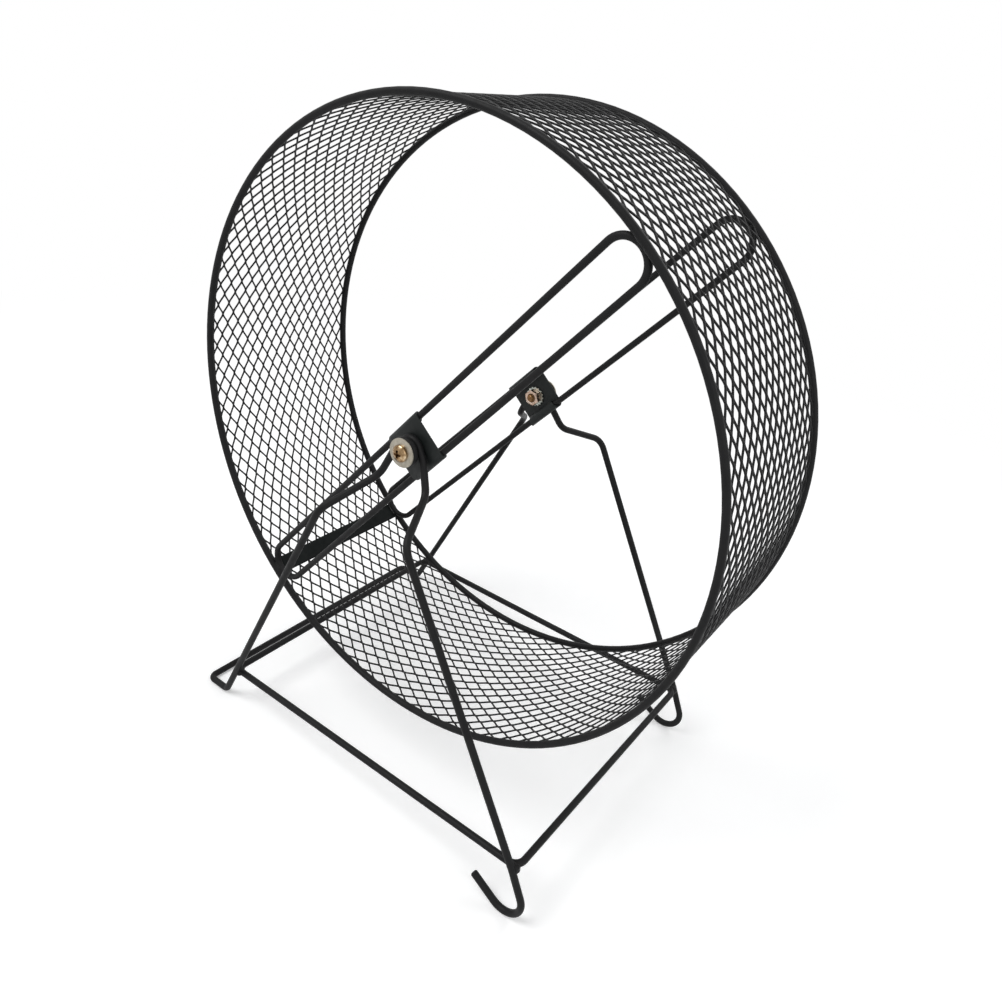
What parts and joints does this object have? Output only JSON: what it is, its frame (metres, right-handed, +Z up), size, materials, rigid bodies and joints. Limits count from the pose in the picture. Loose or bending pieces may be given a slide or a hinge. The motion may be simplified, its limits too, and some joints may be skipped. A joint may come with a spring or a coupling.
{
  "type": "rodent exercise wheel",
  "caption": "Wire and expanded-metal running wheel on a bent-wire stand; the wheel spins on a screw pivot in the eye of each side frame, and hooks hold the stand to a cage.",
  "frame": {"origin": "on the floor, straight below the middle of the axle", "axes": "+Z up; the wheel's axle runs along Y and its near side, with the pictured screw head, is -Y; the hooks are on the +X side"},
  "size_m": [0.2816, 0.1534, 0.3163],
  "materials": {
    "black_wire": "satin powder coat",
    "black_sheet": "satin powder coat",
    "yellow_zinc": "yellow zinc plating",
    "pale_steel": "dull zinc",
    "grey_steel": "dull zinc"
  },
  "bodies": {
    "stand": {"near_side_frame": "black_wire", "far_side_frame": "black_wire", "floor_rail": "black_wire", "base_ring": "black_wire", "corner_welds": "black_wire"},
    "wheel": {"near_rim": "black_wire", "far_rim": "black_wire", "mesh_band": "black_wire", "seam_strip": "black_sheet", "near_spoke_loop": "black_wire", "far_spoke_loop": "black_wire", "spoke_welds": "black_wire", "near_hub_plate": "black_sheet", "far_hub_plate": "black_sheet", "near_bush": "grey_steel", "far_bush": "grey_steel", "near_screw": "yellow_zinc", "far_screw": "yellow_zinc", "near_large_washer": "pale_steel", "far_large_washer": "pale_steel", "near_lock_washer": "grey_steel", "far_lock_washer": "grey_steel", "near_nut": "yellow_zinc", "far_nut": "yellow_zinc"}
  },
  "joints": [
    {"name": "wheel_spin", "type": "hinge", "parent": "stand", "child": "wheel", "pos_m": [0, 0, 0.17552], "axis": [0, 1, 0], "continuous": true}
  ]
}
